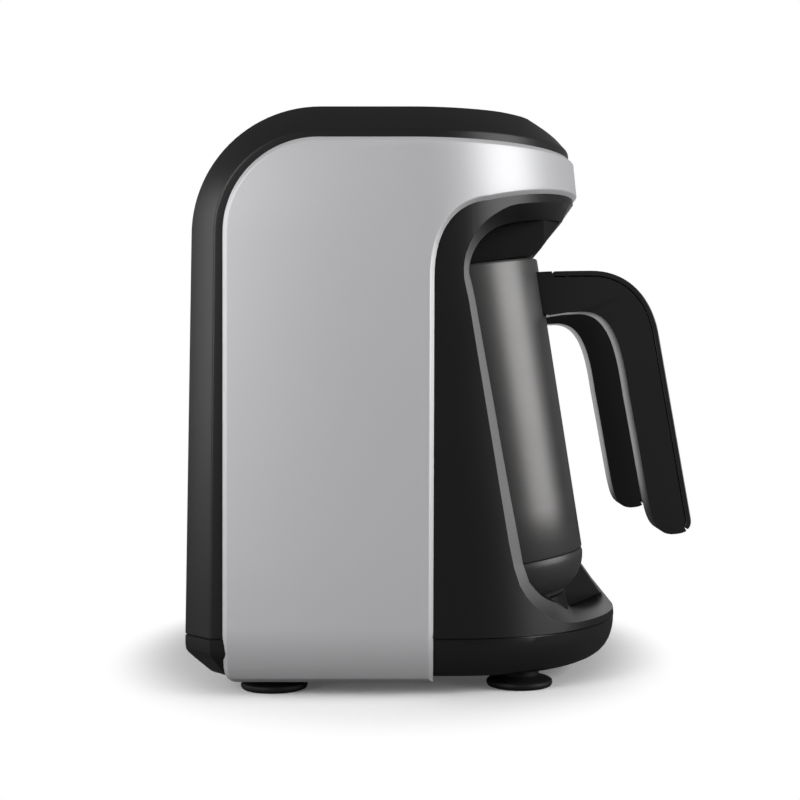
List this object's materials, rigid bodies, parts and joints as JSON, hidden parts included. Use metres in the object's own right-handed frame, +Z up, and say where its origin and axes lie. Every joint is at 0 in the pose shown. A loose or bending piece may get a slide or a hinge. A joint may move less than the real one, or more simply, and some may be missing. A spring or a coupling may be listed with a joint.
{
  "type": "electric turkish coffee maker",
  "caption": "Twin electric turkish coffee maker: tilted metal pots with open handles slide out of bays under a wrapped metal band, with press buttons on the top slope.",
  "frame": {"origin": "centre of the bounding box at the surface the feet stand on", "axes": "+X towards the front and the handles, +Y towards the machine's own right pot, +Z up"},
  "size_m": [0.2204, 0.264, 0.2495],
  "materials": {
    "skin": "satin metallic, horizontal soft sheen",
    "shell": "satin black plastic",
    "bay": "satin black plastic",
    "panel": "gloss black",
    "button": "satin silver",
    "pot": "dark grey satin",
    "cup": "bright satin",
    "pot_base": "satin dark grey",
    "handle": "satin black",
    "handle_back": "soft-touch black",
    "rubber": "matte",
    "board": "green circuit board",
    "component": "dark moulded component",
    "relay": "blue relay case",
    "core": "laminated core",
    "zinc": "zinc plated",
    "brass": "plated contact",
    "lamp": "clear light pipe",
    "lens": "dark window",
    "wire": "insulated strands"
  },
  "bodies": {
    "housing": {"wrap_panel": "skin", "main_housing": "shell", "side_wall_left": "shell", "side_wall_right": "shell", "front_housing": "bay", "bay_liner_left": "bay", "bay_liner_right": "bay", "divider": "bay", "floor_tray": "bay", "bottom_shell": "shell", "inner_frame": "zinc", "control_panel": "panel", "control_board": "board", "button_switches": "component", "indicator_lights": "lamp", "buzzer": "component", "power_board": "board", "transformer": "core", "relays": "relay", "terminal_block": "component", "wiring_loom": "wire", "cord_gland": "rubber", "base_screws": "zinc", "board_screws": "zinc", "foot_front_left": "rubber", "foot_front_right": "rubber", "foot_rear_left": "rubber", "foot_rear_right": "rubber", "sensor_head_left": "bay", "sensor_board_left": "board", "sensor_lens_left": "lens", "seat_left": "bay", "seat_connector_left": "brass", "sensor_head_right": "bay", "sensor_board_right": "board", "sensor_lens_right": "lens", "seat_right": "bay", "seat_connector_right": "brass"},
    "pot_left": {"pot_cup_left": "cup", "pot_sleeve_left": "pot", "pot_base_left": "pot_base", "pot_heater_left": "zinc", "pot_socket_left": "component", "handle_core_left": "handle", "handle_back_left": "handle_back", "handle_screw_left": "zinc"},
    "pot_right": {"pot_cup_right": "cup", "pot_sleeve_right": "pot", "pot_base_right": "pot_base", "pot_heater_right": "zinc", "pot_socket_right": "component", "handle_core_right": "handle", "handle_back_right": "handle_back", "handle_screw_right": "zinc"},
    "button_left_small": {"button_left_small": "button"},
    "button_left_large": {"button_left_large": "button"},
    "button_right_small": {"button_right_small": "button"},
    "button_right_large": {"button_right_large": "button"}
  },
  "joints": [
    {"name": "pot_left_slide", "type": "slide", "parent": "housing", "child": "pot_left", "axis": [0.988, 0, 0.1547], "range_m": [0, 0.13]},
    {"name": "pot_right_slide", "type": "slide", "parent": "housing", "child": "pot_right", "axis": [0.988, 0, 0.1547], "range_m": [0, 0.13]},
    {"name": "button_left_small_press", "type": "slide", "parent": "housing", "child": "button_left_small", "axis": [-0.3494, 0, -0.937], "range_m": [0, 0.0015], "stiffness_N_per_m": 300},
    {"name": "button_left_large_press", "type": "slide", "parent": "housing", "child": "button_left_large", "axis": [-0.3494, 0, -0.937], "range_m": [0, 0.0015], "stiffness_N_per_m": 300},
    {"name": "button_right_small_press", "type": "slide", "parent": "housing", "child": "button_right_small", "axis": [-0.3494, 0, -0.937], "range_m": [0, 0.0015], "stiffness_N_per_m": 300},
    {"name": "button_right_large_press", "type": "slide", "parent": "housing", "child": "button_right_large", "axis": [-0.3494, 0, -0.937], "range_m": [0, 0.0015], "stiffness_N_per_m": 300}
  ]
}
